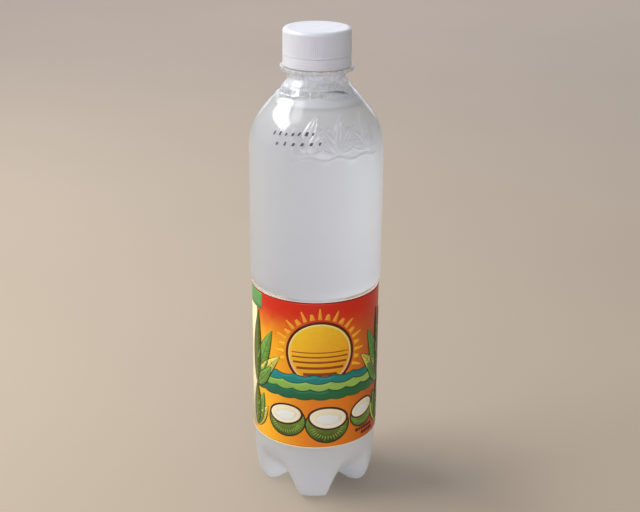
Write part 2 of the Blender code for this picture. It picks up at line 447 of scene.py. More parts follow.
def crowded(columns):
    """Angles once round from the front foot, closer together over the relief and the parting
    lines: the steps are even in the running sum of a density."""
    fine = FRONT_FOOT + np.linspace(0, TURN, 7201)
    density = 1 + 1.5 * smooth(RELIEF_HALF * 1.1, RELIEF_HALF, np.abs(off_middle(fine)))
    density = density + 3 * ridge(np.sin(fine - PARTING_AT), 0.04)
    total = np.concatenate([[0], np.cumsum((density[1:] + density[:-1]) / 2)])
    return np.interp(np.linspace(0, total[-1], columns + 1), total, fine)


def bottle_grid():
    """The whole wall as one sheet: from the middle of the base up the outer side, over the
    mouth's lip, and back down the inner side. Its rows lie closer together over the relief,
    the ledge and the waist."""
    angle = crowded(380)
    u = 0.99 * np.linspace(1.0, 0.0, 42) ** 1.5
    base = base_rows(u, angle, 0.0)
    middle_r = np.hypot(base[..., 0], base[..., 1])
    base[..., 2] -= GATE[1] * np.exp(-(middle_r / GATE[0]) ** 4)
    heights = stretches(BASE_TOP_Z, (LABEL_HIGH_Z, 5), (GROOVE_TOP_Z, 14), (169 * MM, 19),
                        (190 * MM, 51), (SIDE_TOP_Z, 37))[:0:-1]
    r, z, normal_r, normal_z = side_rows(heights)[..., None]
    proud = shoulder_relief(angle, r, z) + blown(angle, z) - ledge(angle, z)
    side = turned(r + normal_r * proud, z + normal_z * proud, angle)[::-1]
    neck = rounded([(NECK_R, RING_Z[0] - 0.25 * MM), (NECK_R, RING_Z[0]), (RING_R, RING_Z[0]),
                    (RING_R, RING_Z[1]), (NECK_R, RING_Z[1]), (NECK_R, BEAD_Z[0] - BEAD_SLOPE),
                    (BEAD_R, BEAD_Z[0]), (BEAD_R, BEAD_Z[1]), (FINISH_R, BEAD_Z[1] + BEAD_SLOPE),
                    (FINISH_R, MOUTH_Z), (MOUTH_R, MOUTH_Z), (MOUTH_R, FILLET_Z)], 0.22 * MM, 4)
    finish = turned(neck[:, :1], neck[:, 1:], angle)
    heights = stretches(FILLET_Z, (198 * MM, 3), (192 * MM, 12), (BASE_TOP_Z, 23))
    r, z, normal_r, normal_z = side_rows(heights)[..., None]
    depth = wall_depth(r) + ledge(angle, z)
    inner = turned(r - normal_r * depth, z - normal_z * depth, angle)
    inner = inner[inner[..., 2].max(axis=1) < FILLET_Z - 0.2 * MM]
    floor = base_rows(u[::-3][1:], angle, WALL)
    return closed(np.vstack([base, side, finish, inner, floor]))


def make_bottle():
    middle = BASE_TOP_Z - DOME_H
    poles = [[(0, 0, middle - GATE[1]), (0, 0, middle + WALL)]]
    obj = piece("bottle_wall", [bottle_grid()], clear_pet(), poles)
    dress(obj, "clear_pet", "bottle")


def drink_grid():
    """The drink just into the wall: up the base and the side to its level, then in over a top
    whose edge climbs the wall, by an exponential of the distance from it. It fills the relief
    from within, so its side rises and falls with it."""
    angle = crowded(330)
    base = base_rows(0.99 * np.linspace(1.0, 0.0, 40) ** 1.5, angle, WALL - SINK)
    heights = stretches(194 * MM, (170 * MM, 61), (LABEL_HIGH_Z + 6 * MM, 23), (BASE_TOP_Z, 29))
    r, z, normal_r, normal_z = side_rows(heights)[..., None]
    depth = wall_depth(r) - SINK - shoulder_relief(angle, r, z)
    side_r, side_z = r - normal_r * depth, z - normal_z * depth
    climb, reach = CLIMB
    edge_z = DRINK_TOP_Z + climb
    side = turned(side_r, side_z, angle)[side_z.max(axis=1) < edge_z - 0.2 * MM][::-1]
    edge_r = np.interp(edge_z, side_z[::-1, 0], side_r[::-1, 0])
    in_r = edge_r * (1 - np.append(0, np.linspace(0.004, 0.97, 40) ** 1.6))[:, None]
    top = turned(in_r, DRINK_TOP_Z + climb * np.exp((in_r - edge_r) / reach), angle)
    return closed(np.vstack([base, side[1:], top]))


def make_drink():
    poles = [[(0, 0, BASE_TOP_Z - DOME_H + WALL - SINK), (0, 0, DRINK_TOP_Z)]]
    obj = piece("cloudy_drink", [drink_grid()], coconut_drink(), poles, sharp=60)
    dress(obj, "coconut_water", "coconut_water")


def cap_grid():
    """Cap from the middle of its roof's underside, down the inner skirt, round its foot, up the
    ribbed outer skirt and over to the middle of the top, which is dished a little."""
    angle = angles(CAP_RIBS * 6)
    inner_r, flat_r = CAP_R - CAP_WALL, CAP_R - CAP_ROUND
    inside = rounded([(2 * MM, CAP_ROOF_Z), (inner_r, CAP_ROOF_Z), (inner_r, CAP_LOW_Z),
                      (CAP_R, CAP_LOW_Z), (CAP_R, CAP_LOW_Z + 0.6 * MM)], 0.25 * MM)
    skirt_z = np.linspace(CAP_LOW_Z + 0.8 * MM, CAP_HIGH_Z - CAP_ROUND, 22)
    skirt = np.stack([np.full_like(skirt_z, CAP_R), skirt_z], -1)
    crown = arc((flat_r, CAP_HIGH_Z - CAP_ROUND), CAP_ROUND, 0.05, math.pi / 2, 9)
    top_r = np.linspace(flat_r - 0.5 * MM, 1 * MM, 14)
    dish = CAP_DISH * smooth(0, 1.6 * MM, flat_r - 0.6 * MM - top_r)
    top = np.stack([top_r, CAP_HIGH_Z - dish - CAP_GATE * ridge(top_r, 1.3 * MM)], -1)
    outline = np.vstack([inside, skirt, crown, top])
    r, z = outline[:, :1], outline[:, 1:]
    foot, head = CAP_LOW_Z + 0.9 * MM, CAP_HIGH_Z - CAP_ROUND * 0.9
    ribbed = smooth(0, 0.9 * MM, z - foot) * smooth(0, 1.1 * MM, head - z) * (r > CAP_R - 0.3 * MM)
    groove = (0.5 - 0.5 * np.cos(angle * CAP_RIBS)) ** 1.5
    return closed(turned(r - RIB_DEPTH * groove * ribbed, z, angle))


def make_cap():
    poles = [[(0, 0, CAP_ROOF_Z), (0, 0, CAP_HIGH_Z - CAP_DISH - CAP_GATE)]]
    obj = piece("screw_cap", [cap_grid()], moulded_cap(), poles, sharp=50)
    dress(obj, "white_cap", "cap")


def make_tamper_band():
    """Ring from a little below its solid almost up to the cap. Its upper edge rises to the cap
    in short bridges, and its skirt widens a little at the foot."""
    angle = angles(CAP_RIBS * 6)
    inner_r, foot_r = CAP_R - BAND_WALL, CAP_R + BAND_FLARE
    high_z = BAND_HIGH_Z + (CAP_LOW_Z - BAND_HIGH_Z) * BAND_REACH
    low_z = BAND_LOW_Z - BAND_DROP
    outline = rounded([(inner_r, high_z - 1 * MM), (inner_r, low_z), (foot_r, low_z),
                       (foot_r, low_z + 0.7 * MM), (CAP_R, low_z + 1 * MM), (CAP_R, high_z),
                       (inner_r, high_z), (inner_r, high_z - 0.9 * MM)], 0.2 * MM)
    r, z = outline[:, :1], outline[:, 1:]
    bridge = ridge(np.sin(angle * BRIDGES / 2) / BRIDGES * 2, 0.022)
    top = smooth(-0.3 * MM, -0.05 * MM, z - high_z)
    grid = turned(r, z + (CAP_LOW_Z - high_z + 0.05 * MM) * bridge * top, angle)
    obj = piece("tamper_ring", [closed(grid)], moulded_cap("hdpe_tamper_ring"), loop=True)
    dress(obj, "white_cap", "tamper_band")


def domes(centres, normals, radii, rises, sunk, stretch=1.0):
    """Small flattened domes on a surface: rings whose radius falls as a cosine while they rise
    as a sine along the surface's normal, closed below and at the top. A share of the rise is
    sunk into the surface, and stretch lengthens them up and down it."""
    t = np.linspace(0, math.pi / 2 * 0.93, 5)[:, None]
    a = angles(10)[None, :]
    side = np.cross(normals, (0, 0, 1.0))
    side /= np.linalg.norm(side, axis=1, keepdims=True)
    over = np.cross(normals, side) * np.reshape(stretch, (-1, 1))
    grids, poles = [], []
    for centre, normal, x, y, radius, rise in zip(centres, normals, side, over, radii, rises):
        flat = np.cos(t) * radius
        ring = (flat * np.cos(a))[..., None] * x + (flat * np.sin(a))[..., None] * y
        lift = (np.sin(t) - sunk) * rise * np.ones_like(a)
        grid = centre - ring + lift[..., None] * normal
        grids.append(closed(grid))
        poles.append([centre - normal * rise * sunk, centre + normal * rise * (1 - sunk)])
    return grids, poles


def on_side(angle, z, inner=None):
    """Points on the outer side and the outward normals there, or points a distance inwards of
    the wall's inner side."""
    order = np.argsort(-z)
    r, _, normal_r, normal_z = side_rows(z[order])
    back = np.argsort(order)
    r, normal_r, normal_z = r[back], normal_r[back], normal_z[back]
    normal = turned(normal_r, normal_z, angle)
    under = np.zeros_like(r) if inner is None else wall_depth(r) + ledge(angle, z) + inner
    return turned(r, z, angle) - normal * under[:, None], normal


def make_code():
    """Two rows of plain leaning blocks of ink dots on the shoulder, as a date printer jets
    them: each block is a whole lattice of two or three columns and three or four rows."""
    rng = np.random.default_rng(23)
    spots = []
    for first, last, low, high, blocks in CODE:
        for share in np.linspace(0, 1, blocks):
            columns, rows = 2 + rng.integers(0, 2), 3 + rng.integers(0, 2)
            across, up = np.meshgrid(np.arange(columns), np.arange(rows), indexing="ij")
            x = (across + up * DOT_LEAN).ravel() * DOT_PITCH
            z = (low + (high - low) * share) * MM + up.ravel() * DOT_PITCH * 0.95
            middle = math.radians(-90 + first + (last - first) * share)
            spots.append(np.stack([middle + x / CODE_R, z], -1))
    spots = np.vstack(spots)
    centres, normals = on_side(spots[:, 0], spots[:, 1])
    r = np.hypot(centres[:, 0], centres[:, 1])
    centres += normals * shoulder_relief(spots[:, 0], r, spots[:, 1])[:, None]
    size = DOT_R * rng.uniform(0.92, 1.1, len(centres))
    grids, poles = domes(centres, normals, size, np.full_like(size, DOT_RISE), 0.2)
    obj = piece("ink_dots", grids, coding_ink(), poles)
    dress(obj, "printed_film")


def make_drops():
    """Drops and short runs of the drink on the wall's inner side, above its level."""
    rng = np.random.default_rng(7)
    z = (DRINK_TOP_Z / MM + 1.6 + 12.2 * rng.random(DROPS) ** 1.1) * MM
    centres, normals = on_side(rng.uniform(0, TURN, DROPS), z, 0.01 * MM)
    size = 0.16 * MM + 0.42 * MM * rng.random(DROPS) ** 2.5
    stretch = 1 + 3.5 * rng.random(DROPS) ** 4
    grids, poles = domes(centres, -normals, size, size * 0.6, 0.3, stretch)
    drink = coconut_drink("coconut_water_drops", 0.3, 0.0)
    dress(piece("drink_drops", grids, drink, poles, sharp=60), "coconut_water")


def inner_grid(angle, z, inner):
    """Grid a distance inwards of the wall's inner side, from angles and a grid of heights."""
    angle = np.broadcast_to(angle, z.shape)
    points, _ = on_side(angle.ravel(), z.ravel(), inner)
    return points.reshape(*z.shape, 3)


def make_wall_film():
    """Film of drink left on the wall's inner side above the level, at the front and at the
    back: its upper edge is in short uneven runs, and falls almost to the level at both ends."""
    off = np.linspace(-FILM_HALF, FILM_HALF, 150)
    held = smooth(FILM_HALF, FILM_HALF - FILM_FALL, np.abs(off))
    rise = 0.8 + (4.6 + 1.3 * np.sin(off * 1.4)) * held
    runs = 0.22 * np.sin(off * 31 + 1) + 0.16 * np.sin(off * 53)
    top = DRINK_TOP_Z + (rise + runs * smooth(0, 3, rise)) * MM
    low = DRINK_TOP_Z - FILM_FOOT
    z = low + (top - low) * np.linspace(0, 1, 14)[:, None]
    grids = [inner_grid(middle + off, z, -0.03 * MM) for middle in FILM_MIDDLES]
    obj = piece("drink_wall_film", grids, coconut_drink("coconut_water_film", 0.45, 0.0), sharp=60)
    dress(thicken(obj, 0.16 * MM), "coconut_water")


def make_painted_shade_line():
    """Painted shade: a dark strip at the front right, on the wall's inner side, that stands for
    the dark line at the drink film's edge. It is a thin line that widens and falls as it goes
    right, and ends in a point."""
    share = np.linspace(0, 1, 60)
    middle = SHADE_LINE_Z - SHADE_LINE_FALL * share ** 3
    half = SHADE_LINE_HALF * smooth(0, 0.75, share) * smooth(1, 0.8, share) + 0.04 * MM
    z = middle + half * np.linspace(-1, 1, 4)[:, None]
    grid = inner_grid(np.interp(share, (0, 1), SHADE_LINE_ENDS), z, -0.06 * MM)
    obj = piece("drink_painted_shade_line", [grid], painted_shade_line_finish(), sharp=60)
    dress(thicken(obj, 0.1 * MM), "coconut_water")


def film_ripple(flat):
    """Height of the film's slack over its panel, and of its lap over its own start."""
    x, y = flat[..., 0], flat[..., 1]
    slack = np.sin(x / 7.3 + 0.8) * np.sin(y / 11.0 + 1.9) + 0.7 * np.sin(x / 3.9 - y / 16.0)
    return 0.022 * MM * slack + 0.13 * MM * smooth(-1.2, 0.6, x - (LABEL_HALF - LAP * 0.4))


def laid(flat, lift=0.0):
    """Label millimetres laid round the bottle, over the film's ripple, a lift above it."""
    angle = flat[..., 0] * MM / LABEL_R - math.pi / 2
    return turned(LABEL_R + film_ripple(flat) + lift, LABEL_LOW_Z + flat[..., 1] * MM, angle)


def outward(flat):
    """The grid with its columns turned round if it would face inwards."""
    right, up = flat[:, 1:] - flat[:, :-1], flat[1:] - flat[:-1]
    area = (right[:-1, :, 0] * up[:, :-1, 1] - right[:-1, :, 1] * up[:, :-1, 0]).sum()
    return flat if area > 0 else flat[:, ::-1]


def printed(name, shapes, layer, ink, *tones):
    """One or more flat shapes in one ink, whose tones and their line film_ink takes. A higher
    layer lies over a lower one."""
    shapes = [outward(shape) for shape in shapes]
    lift = layer * INK_STEP
    grids = [laid(shape, lift) for shape in shapes]
    obj = piece(name, grids, film_ink(ink, *tones), flats=shapes)
    dress(thicken(obj, lift + INK_ROOT), "printed_film")


def sheet(x, y):
    """Grid from a row of x values and, for each, a low and a high y."""
    low, high = np.broadcast_arrays(y[0], y[1], x)[:2]
    share = np.linspace(0, 1, 4)[:, None]
    return np.stack([np.broadcast_to(x, (4, len(x))), low + (high - low) * share], -1)


def panel(x0, x1, y0, y1):
    """Upright rectangle, with a column about every millimetre so that it follows the curve."""
    x = np.linspace(x0, x1, max(3, int(x1 - x0) + 2))
    return sheet(x, (np.full_like(x, y0), np.full_like(x, y1)))


def turned_to(centre, turn, x, y):
    """Flat points turned about the origin and then moved to a centre."""
    c, s = math.cos(turn), math.sin(turn)
    return np.stack([centre[0] + x * c - y * s, centre[1] + x * s + y * c], -1)


def disc(centre, size, turn=0.0):
    """Filled ellipse: a square grid pressed round by x = u sqrt(1 - v^2/2) and the same for y."""
    u, v = np.meshgrid(np.linspace(-1, 1, 26), np.linspace(-1, 1, 26))
    x, y = u * np.sqrt(1 - v * v / 2) * size[0], v * np.sqrt(1 - u * u / 2) * size[1]
    return turned_to(centre, turn, x, y)


def hoop(centre, size, width, turn=0.0):
    """Ring of even width just outside an ellipse."""
    a = angles(95)
    grow = np.linspace(0, width, 3)[:, None]
    return turned_to(centre, turn, (size[0] + grow) * np.cos(a), (size[1] + grow) * np.sin(a))


def ribbon(line, width):
    """Strip along a line of points, half its width to each side of it."""
    along = np.gradient(line, axis=0)
    along /= np.linalg.norm(along, axis=1, keepdims=True)
    side = np.stack([-along[:, 1], along[:, 0]], -1) * np.reshape(width, (-1, 1)) / 2
    share = np.linspace(1, -1, 3)[:, None, None]
    return line[None] + side[None] * share


def leaf_line(root, heading, length, bend):
    """Middle line of a leaf: a parabola that leaves the root in its heading and bends aside."""
    t = np.linspace(0, 1, LEAF_ROWS)[:, None]
    way = np.array([math.cos(math.radians(heading)), math.sin(math.radians(heading))])
    return np.array(root) + way * length * t + np.array([-way[1], way[0]]) * bend * t * t


def leaf(root, heading, length, width, bend):
    """Leaf blade along its middle line, as broad as width times sin(pi t^0.8)^0.85."""
    t = np.linspace(0, 1, LEAF_ROWS)
    breadth = width * np.sin(math.pi * t ** 0.8) ** 0.85
    return ribbon(leaf_line(root, heading, length, bend), np.maximum(breadth, 0.12))


def veins(root, heading, length, width, bend):
    """Midrib and six pairs of side veins of a leaf, as thin tapering strips."""
    line = leaf_line(root, heading, length, bend)
    strips = [ribbon(line, np.linspace(0.55, 0.15, len(line)))]
    share = np.linspace(0, 1, 6)[:, None]
    for at in range(3, 19, 3):
        way = line[at + 1] - line[at]
        way /= np.linalg.norm(way)
        reach = width * 0.36 * math.sin(math.pi * (at / (LEAF_ROWS - 1)) ** 0.8)
        for hand in (-1, 1):
            tip = line[at] + way * reach * 0.9 + np.array([-way[1], way[0]]) * hand * reach
            strips.append(ribbon(line[at] + (tip - line[at]) * share, np.linspace(0.3, 0.14, 6)))
    return strips


def wave(x, base, swing, length, shift):
    """Height of a wave crest line: sharp crests from the absolute value of a sine."""
    return base + swing * (1 - np.abs(np.sin(math.pi * (x + shift) / length)) ** 0.8)


# Label design: a low sun over bands of water, cut coconuts and broad leaves
SUN = (2.5, 48.5)
SUN_R = 14.6
ART = (-34.0, LABEL_HALF + LAP - 0.4)   # the picture, from the panel to the film's end
LEAF_ROWS = 26
RED, ORANGE, YELLOW, BURNT = "#D42A0E", "#E8811C", "#FFB820", "#B4460A"
MAROON, CREAM, FOREST, OLIVE, MOSS = "#5A1408", "#FFF6C8", "#232C10", "#3C4A17", "#5E6B1E"
# Cut coconuts: centre, size and turn
COCONUTS = (((-14.0, 15.4), 9.2, 0.16), ((6.5, 14.2), 10.2, -0.1), ((25.5, 16.0), 7.8, 0.22),
            ((68.0, 14.0), 9.5, 0.0))
HUSK = (-0.22, 1.0, 0.86)
# Parts of a cut coconut seen from above its rim. The place above its centre, the half width and
# the half height are shares of its size, then come the layer and the tones.
COCONUT_PARTS = (("outline", HUSK, 9, FOREST, FOREST), ("husk", HUSK, 8, OLIVE, "#7FA03C"),
                 ("shell", (0.12, 0.97, 0.60), 9.5, "#4A2410", "#4A2410"),
                 ("flesh", (0.12, 0.86, 0.50), 10, "#FFF9E4", "#F6ECC8"),
                 ("hollow", (0.14, 0.64, 0.34), 10.5, "#E6D7A6", "#F2E8BE"),
                 ("drink", (0.06, 0.54, 0.24), 11, "#DCE4DA", "#EEF2E8"))
# Leaves: root, heading in degrees, length, width and bend
LEFT, RIGHT, LOW_LEFT, LOW_RIGHT = (-33.5, 26), (40, 26), (-33.5, 4), (40, 4)
LEAVES = {
    "pale": ((LEFT, 56, 25, 6.6, -3), (LOW_LEFT, 52, 16, 5, 1), (RIGHT, 124, 25, 6.6, 3),
             (LOW_RIGHT, 128, 15, 5, -1)),
    "mid": ((LEFT, 74, 33, 7.6, -3), (LEFT, 38, 17, 5.4, 3), (LOW_LEFT, 70, 20, 6, 1),
            (RIGHT, 106, 32, 7.6, 3), (RIGHT, 142, 17, 5.4, -3), (LOW_RIGHT, 110, 19, 6, -1)),
    "dark": ((LEFT, 92, 38, 7.2, -3), (LOW_LEFT, 88, 23, 6.4, 1), (RIGHT, 90, 38, 7.4, 3),
             (LOW_RIGHT, 92, 22, 6.4, -1))}


def make_film():
    """Wrap-round film: one sheet from the back, round the front and over its own start."""
    x = np.linspace(-LABEL_HALF, LABEL_HALF + LAP, 400)
    y = np.linspace(0, LABEL_H, 60)
    flat = np.stack(np.meshgrid(x, y), -1)
    obj = piece("label_film", [laid(flat)], label_print(), flats=[flat])
    dress(thicken(obj, FILM, film_edge_and_highlight()), "printed_film", "label")


def make_borders():
    """Unprinted cream line along the lower edge, which is also a painted highlight of the bright
    rim there, and a dark line under the upper one.
    """
    ends = (-LABEL_HALF + 0.1, LABEL_HALF + LAP - 0.1)
    # The cream line is partly the film's unprinted edge and partly a painted highlight
    printed("label_lower_line_and_highlight", [panel(*ends, 0.02, 0.45)], 1, "cream", CREAM, CREAM)
    high = panel(*ends, LABEL_H - 0.5, LABEL_H - 0.1)
    printed("label_upper_line", [high], 1, "dark_line", MAROON, "#40140C")


def make_side_panel():
    """Cream panel at the left with a green head, plain rules and plain upright bars."""
    left, right = -86.0, ART[0]
    field = panel(left, right, 2.2, LABEL_H - 9)
    head = panel(left, right + 5, LABEL_H - 9, LABEL_H - 0.8)
    printed("panel_field", [field], 1, "panel_cream", CREAM, "#FBEFB4")
    printed("panel_head", [head], 2, "head_green", "#3E8F4E", "#5FA552", (-60, 0), (-30, 0))
    rng = np.random.default_rng(5)
    rules = [panel(left + 4, left + 4 + width, y, y + 0.45)
             for y, width in zip(np.arange(26, LABEL_H - 13, 2.6), rng.uniform(26, 40, 20))]
    bars, x = [], left + 7.0
    while x < left + 30:
        width = rng.choice((0.5, 0.8, 1.2))
        bars.append(panel(x, x + width, 7, 19))
        x += width + rng.choice((0.6, 0.9, 1.3))
    printed("panel_rules", rules + bars, 2, "rule_brown", "#5A2A16", "#5A2A16")


def make_sun():
    """Low sun with a rim, rays and bands across it."""
    rays = []
    for k, heading in enumerate(np.radians(np.arange(-22, 203, 11.25))):
        inner, outer = SUN_R + 2.6, SUN_R + (5.6 if k % 2 else 8.0)
        spread = np.array([[0.075], [0.03]]) if k % 2 else np.array([[0.055], [0.012]])
        share = np.linspace(0, 1, 9)[:, None]
        side = heading + (spread[0] + (spread[1] - spread[0]) * share) * np.linspace(-1, 1, 4)
        reach = inner + (outer - inner) * share
        rays.append(np.stack([SUN[0] + reach * np.cos(side), SUN[1] + reach * np.sin(side)], -1))
    printed("sun_rays", rays, 2, "ray_yellow", YELLOW, "#F2A02A", (0, 50), (0, 66))
    bands = []
    for y, depth in ((37.6, 1.5), (40.9, 1.25), (43.9, 1.0), (46.6, 0.75), (49.0, 0.5)):
        reach = math.sqrt((SUN_R - 1.2) ** 2 - (SUN[1] - y) ** 2)
        bands.append(panel(SUN[0] - reach, SUN[0] + reach, y, y + depth))
    rim, glow = hoop(SUN, (SUN_R + 0.4,) * 2, 1.3), hoop(SUN, (SUN_R - 0.5,) * 2, 0.9)
    gold = disc(SUN, (SUN_R, SUN_R))
    printed("sun_bands", bands, 4, "band_brown", "#8A3A10", "#A8521A", (0, 36), (0, 52))
    printed("sun_rim", [rim], 3, "rim_maroon", MAROON, MAROON)
    printed("sun_glow", [glow], 4, "rim_pale", "#F6C48A", "#F4E27A", (0, 40), (0, 58))
    printed("sun_disc", [gold], 3, "sun_gold", "#EC9C12", "#FBCB2C", (10, 38), (-4, 64))


def make_waves():
    """Three bands of water across the front, each with a crest line."""
    x = np.linspace(ART[0] + 0.4, ART[1], 280)
    ends = (-30, 0), (40, 0)
    for name, base, depth, swing, length, shift, layer, tones in (
            ("far", 37.2, 6.0, 1.1, 9.5, 0.0, 5, ("#1F8A84", "#1F7A6C")),
            ("mid", 33.4, 5.0, 1.3, 11.5, 4.0, 6, ("#7FB04C", "#A9C45A")),
            ("near", 29.6, 4.6, 1.2, 8.5, 2.0, 7, ("#1C6A4A", "#2E6B2E"))):
        crest = wave(x, base, swing, length, shift)
        trough = wave(x, base - depth, swing * 0.6, length, 1.0)
        water, line = sheet(x, (trough, crest)), ribbon(np.stack([x, crest], -1), 0.4)
        printed("wave_" + name, [water], layer, "water_" + name, *tones, *ends)
        printed("crest_" + name, [line], layer + 0.5, "crest_" + name, "#0F3F38", "#274016", *ends)


def make_coconuts():
    """Three cut green coconuts in a row below the water, and one at the back, each part in one
    piece, with fibres across the husks."""
    for part, (up, wide, high), layer, *tones in COCONUT_PARTS:
        shapes = []
        for centre, size, turn in COCONUTS:
            oval = turned_to(centre, turn, 0, up * size), (wide * size, high * size)
            shapes.append(hoop(*oval, 0.6, turn) if part == "outline" else disc(*oval, turn))
        printed("coconut_" + part, shapes, layer, "nut_" + part, *tones, (0, 4), (0, 17))
    rng = np.random.default_rng(3)
    fibres = []
    for middle, size, turn in COCONUTS:
        for a in np.radians(np.linspace(198, 342, 15)):
            reach = size * np.linspace(0.66, rng.uniform(0.84, 0.93), 5)[:, None]
            way = np.array([math.cos(a), math.sin(a) * HUSK[2]])
            line = np.array(middle) + [0, HUSK[0] * size] + way * reach
            fibres.append(ribbon(line, np.linspace(0.34, 0.14, 5)))
    printed("coconut_fibres", fibres, 8.5, "fibre", "#B9C45A", "#8FA23A")


def make_leaves():
    """Fans of broad leaves at both sides of the front, from pale green to nearly black."""
    for name, layer, tones, vein_tones in (
            ("pale", 12, ("#F1DE6A", "#C9C24A"), (MOSS, OLIVE)),
            ("mid", 13, ("#7FB04C", "#4F8A3A"), (MOSS, OLIVE)),
            ("dark", 14, (MOSS, OLIVE), ("#8F9A3A", "#6F7A2C"))):
        rims = [leaf(root, heading, length, width + 1.0, bend)
                for root, heading, length, width, bend in LEAVES[name]]
        blades = [leaf(*one) for one in LEAVES[name]]
        strips = [strip for one in LEAVES[name] for strip in veins(*one)]
        printed("leaf_rims_" + name, rims, layer - 0.3, "leaf_rim_" + name, FOREST, "#2C3A14")
        printed("leaves_" + name, blades, layer, "leaf_" + name, *tones, (-40, 20), (46, 60))
        printed("veins_" + name, strips, layer + 0.5, "vein_" + name, *vein_tones)


def make_small_marks():
    """Plain upright line at the picture's right, and two short rows of dashes beside it."""
    line = panel(42.4, 43.1, 4.0, 62.0)
    rng = np.random.default_rng(9)
    dashes = []
    for y, first, last in ((5.2, 21.0, 33.0), (2.8, 25.0, 33.5)):
        x = first
        while x < last - 0.8:
            width = rng.uniform(0.7, 1.8)
            dashes.append(panel(x, min(x + width, last), y, y + 1.3))
            x += width + 0.55
    printed("right_line", [line], 11.5, "line_maroon", MAROON, "#7A2A0C")
    printed("right_dashes", dashes, 15, "dash_maroon", "#6A1A08", MAROON)


def two_tones(tree, coords, size, low, high):
    """Colour that drifts between two tones, in patches of this many millimetres."""
    patch = add(tree, "ShaderNodeTexNoise", {"Vector": (coords, "Object"), "Scale": per(size)})
    colour = add(tree, "ShaderNodeMix", {
        0: (patch, 0), 6: linear(low), 7: linear(high)}, data_type="RGBA")
    return colour, 2


def plain_finish(name, size, low, high, roughness, ior=1.5):
    """Material of an opaque surface in two drifting tones."""
    material, tree, coords = new_material(name)
    surface = add(tree, "ShaderNodeBsdfPrincipled", {
        "Base Color": two_tones(tree, coords, size, low, high), "Roughness": roughness,
        "IOR": ior})
    add(tree, "ShaderNodeOutputMaterial", {"Surface": (surface, 0)})
    return material


def clear_pet():
    """PET, stretch-blown: clear and glossy, its wall a little uneven, so that reflections bend.
    It lets light through to the drink, as thin clear plastic does. The thick neck is hazy, in
    faint upright streaks, and the ring more so."""
    material, tree, coords = new_material("pet_blown_clear")
    stretched = add(tree, "ShaderNodeMapping", {
        "Vector": (coords, "Object"), "Scale": (1.0, 1.0, 0.35)})
    flow = add(tree, "ShaderNodeTexNoise", {
        "Vector": (stretched, 0), "Scale": per(9), "Detail": 1.0})
    place = add(tree, "ShaderNodeSeparateXYZ", {0: (coords, "Object")})
    calm = add(tree, "ShaderNodeMapRange", {
        "Value": (place, "Z"), "From Min": 202 * MM, "From Max": 204 * MM, "To Min": 0.35,
        "To Max": 0.03})
    bump = add(tree, "ShaderNodeBump", {
        "Height": (flow, 0), "Strength": (calm, 0), "Distance": 0.12 * MM})
    scuffs = add(tree, "ShaderNodeTexNoise", {
        "Vector": (coords, "Object"), "Scale": per(3), "Detail": 3.0})
    rough = add(tree, "ShaderNodeMapRange", {
        "Value": (scuffs, 0), "From Min": 0.35, "From Max": 0.75, "To Min": 0.10, "To Max": 0.20})
    plastic = add(tree, "ShaderNodeBsdfPrincipled", {
        "Base Color": linear("#EBF0F2"), "Roughness": (rough, 0), "IOR": 1.575,
        "Transmission Weight": 1.0, "Normal": (bump, 0)})
    drawn = add(tree, "ShaderNodeMapping", {
        "Vector": (coords, "Object"), "Scale": (1.0, 1.0, 0.22)})
    streaks = add(tree, "ShaderNodeTexNoise", {
        "Vector": (drawn, 0), "Scale": per(2.6), "Detail": 1.0})
    cloud = add(tree, "ShaderNodeMapRange", {
        "Value": (streaks, 0), "From Min": 0.3, "From Max": 0.7, "To Min": 0.2, "To Max": 0.42})
    height = add(tree, "ShaderNodeMapRange", {
        "Value": (place, "Z"), "From Min": 194 * MM, "From Max": 202 * MM},
        interpolation_type="SMOOTHSTEP")
    thick = add(tree, "ShaderNodeMapRange", {
        "Value": (place, "Z"), "From Min": 203.6 * MM, "From Max": 204.8 * MM, "To Min": 1.0,
        "To Max": 1.8})
    hazy = add(tree, "ShaderNodeMath", {0: (cloud, 0), 1: (height, 0)}, operation="MULTIPLY")
    haze = add(tree, "ShaderNodeMath", {0: (hazy, 0), 1: (thick, 0)}, operation="MULTIPLY")
    lit = add(tree, "ShaderNodeBsdfDiffuse", {"Color": linear("#FBFCFE")})
    glow = add(tree, "ShaderNodeBsdfTranslucent", {"Color": linear("#FBFCFE")})
    milky = add(tree, "ShaderNodeMixShader", {0: 0.5, 1: (lit, 0), 2: (glow, 0)})
    wall = add(tree, "ShaderNodeMixShader", {0: (haze, 0), 1: (plastic, 0), 2: (milky, 0)})
    let_through(tree, wall, linear("#FCFDFD"))
    return material


def coconut_drink(name="coconut_water_cloudy", far=0.6, soft=0.5):
    """Coconut water: cloudy, so light crosses it and it looks evenly pale grey. A share of what
    it shows is the light that falls on its far side, less in the thin feet."""
    material, tree, coords = new_material(name)
    colour = two_tones(tree, coords, 26, "#F8F9FC", "#FCFDFE")
    near = add(tree, "ShaderNodeBsdfPrincipled", {
        "Base Color": colour, "Roughness": 0.18, "IOR": 1.34, "Specular IOR Level": 0.2,
        "Subsurface Weight": soft, "Subsurface Radius": (1.0, 1.0, 1.0),
        "Subsurface Scale": 8 * MM})
    crossing = add(tree, "ShaderNodeBsdfTranslucent", {"Color": colour})
    place = add(tree, "ShaderNodeSeparateXYZ", {0: (coords, "Object")})
    share = add(tree, "ShaderNodeMapRange", {
        "Value": (place, "Z"), "From Min": 12 * MM, "From Max": 45 * MM, "To Min": 0.45,
        "To Max": far})
    milky = add(tree, "ShaderNodeMixShader", {0: (share, 0), 1: (near, 0), 2: (crossing, 0)})
    let_through(tree, milky, linear("#EFF0F3"))
    return material


def painted_shade_line_finish():
    """Painted shade for the edge of the drink's film: a wet, dark grey that stands for the light
    its edge bends away.
    """
    return plain_finish("coconut_water_film_painted_shade", 4, "#868A8E", "#9EA2A6", 0.25, ior=1.34)


